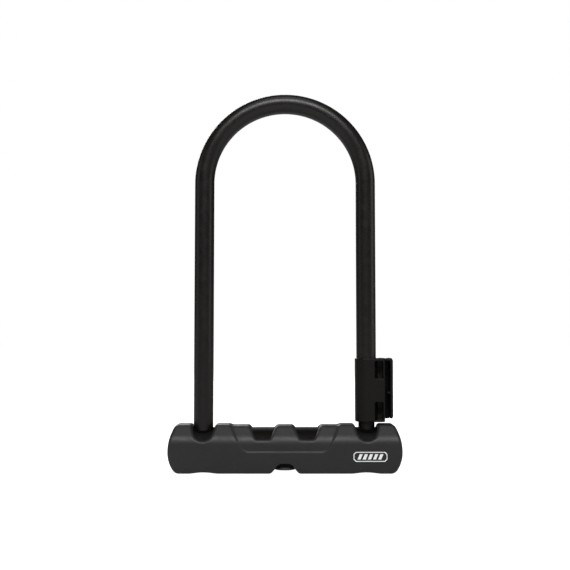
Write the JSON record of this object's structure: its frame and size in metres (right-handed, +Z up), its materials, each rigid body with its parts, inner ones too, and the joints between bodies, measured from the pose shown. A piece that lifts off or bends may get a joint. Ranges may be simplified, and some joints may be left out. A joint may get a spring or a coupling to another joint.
{
  "type": "u lock",
  "caption": "Bicycle U lock: coated round steel shackle, double-bolting crossbar with a key cylinder underneath, and a frame-holder adapter on one leg.",
  "frame": {"origin": "middle of the crossbar's underside, on the surface that the lock stands on", "axes": "+X along the crossbar to the leg that carries the adapter, +Z up the shackle's legs, and the crossbar's plain front with the badge faces -Y"},
  "size_m": [0.169, 0.0352, 0.2795],
  "materials": {
    "cover_plastic": "fine-grained matt charcoal moulding",
    "shackle_coat": "smooth satin black soft coat",
    "adapter_plastic": "satin black moulding",
    "guide_plastic": "matt black moulding",
    "black_steel": "black phosphated",
    "bright_steel": "turned and plated",
    "brass": "machined",
    "liner_rubber": "matt black"
  },
  "bodies": {
    "crossbar": {"crossbar_tube": "black_steel", "end_plug_left": "black_steel", "end_plug_right": "black_steel", "housing_front": "cover_plastic", "housing_rear": "cover_plastic", "housing_screw_left": "black_steel", "housing_screw_right": "black_steel", "leg_guide_left": "guide_plastic", "leg_guide_right": "guide_plastic", "guide_pin_left": "bright_steel", "guide_pin_right": "bright_steel", "bolt_carrier_left": "bright_steel", "bolt_carrier_right": "bright_steel", "carrier_pin_left": "bright_steel", "carrier_pin_right": "bright_steel", "cylinder_housing": "black_steel", "cylinder_pin": "bright_steel", "badge_plate": "cover_plastic"},
    "shackle": {"shackle_bar": "black_steel", "shackle_coating": "shackle_coat"},
    "key_plug": {"cylinder_plug": "brass", "drill_guard": "black_steel", "retaining_ring": "bright_steel", "drive_cam": "bright_steel", "cam_screw": "black_steel"},
    "shutter": {"keyhole_shutter": "bright_steel"},
    "left_bolt": {"bolt_left": "bright_steel"},
    "right_bolt": {"bolt_right": "bright_steel"},
    "adapter": {"bracket_front": "adapter_plastic", "bracket_rear": "adapter_plastic", "bracket_liner": "liner_rubber", "bracket_screw_upper": "black_steel", "bracket_screw_lower": "black_steel", "bracket_nut_upper": "black_steel", "bracket_nut_lower": "black_steel"},
    "latch": {"latch_plate": "adapter_plastic"},
    "wafer_1_body": {"wafer_1": "brass"},
    "wafer_2_body": {"wafer_2": "brass"},
    "wafer_3_body": {"wafer_3": "brass"},
    "wafer_4_body": {"wafer_4": "brass"},
    "wafer_5_body": {"wafer_5": "brass"},
    "wafer_6_body": {"wafer_6": "brass"}
  },
  "joints": [
    {"name": "shackle_lift", "type": "slide", "parent": "crossbar", "child": "shackle", "axis": [0, 0, 1], "range_m": [0, 0.05]},
    {"name": "key_turn", "type": "hinge", "parent": "crossbar", "child": "key_plug", "pos_m": [0, 0, 0.012], "axis": [0, 0, -1], "range_deg": [0, 90]},
    {"name": "bolt_right_slide", "type": "slide", "parent": "crossbar", "child": "right_bolt", "axis": [1, 0, 0], "range_m": [0, 0.00566]},
    {"name": "bolt_left_slide", "type": "slide", "parent": "crossbar", "child": "left_bolt", "axis": [-1, 0, 0], "range_m": [0, 0.00566]},
    {"name": "shutter_slide", "type": "slide", "parent": "key_plug", "child": "shutter", "axis": [1, 0, 0], "range_m": [0, 0.00275], "stiffness_N_per_m": 40},
    {"name": "adapter_turn", "type": "hinge", "parent": "shackle", "child": "adapter", "pos_m": [0.05985, 0, 0.05945], "axis": [0, 0, 1], "range_deg": [-120, 120]},
    {"name": "latch_flex", "type": "hinge", "parent": "adapter", "child": "latch", "pos_m": [0.0732, 0, 0.0817], "axis": [0, -1, 0], "range_deg": [0, 4], "stiffness_Nm_per_rad": 1.5},
    {"name": "wafer_1_slide", "type": "slide", "parent": "key_plug", "child": "wafer_1_body", "axis": [0, 1, 0], "range_m": [0, 0.0006], "stiffness_N_per_m": 60},
    {"name": "wafer_2_slide", "type": "slide", "parent": "key_plug", "child": "wafer_2_body", "axis": [0, -1, 0], "range_m": [0, 0.0006], "stiffness_N_per_m": 60},
    {"name": "wafer_3_slide", "type": "slide", "parent": "key_plug", "child": "wafer_3_body", "axis": [0, 1, 0], "range_m": [0, 0.0006], "stiffness_N_per_m": 60},
    {"name": "wafer_4_slide", "type": "slide", "parent": "key_plug", "child": "wafer_4_body", "axis": [0, -1, 0], "range_m": [0, 0.0006], "stiffness_N_per_m": 60},
    {"name": "wafer_5_slide", "type": "slide", "parent": "key_plug", "child": "wafer_5_body", "axis": [0, 1, 0], "range_m": [0, 0.0006], "stiffness_N_per_m": 60},
    {"name": "wafer_6_slide", "type": "slide", "parent": "key_plug", "child": "wafer_6_body", "axis": [0, -1, 0], "range_m": [0, 0.0006], "stiffness_N_per_m": 60}
  ],
  "couplings": [
    {"joint": "key_turn", "follows": "bolt_right_slide", "rad_per_m": 277.68},
    {"joint": "bolt_left_slide", "follows": "bolt_right_slide", "ratio": 1},
    {"joint": "wafer_2_slide", "follows": "wafer_1_slide", "ratio": 0.8},
    {"joint": "wafer_3_slide", "follows": "wafer_1_slide", "ratio": 0.55},
    {"joint": "wafer_4_slide", "follows": "wafer_1_slide", "ratio": 0.95},
    {"joint": "wafer_5_slide", "follows": "wafer_1_slide", "ratio": 0.65},
    {"joint": "wafer_6_slide", "follows": "wafer_1_slide", "ratio": 0.9}
  ]
}
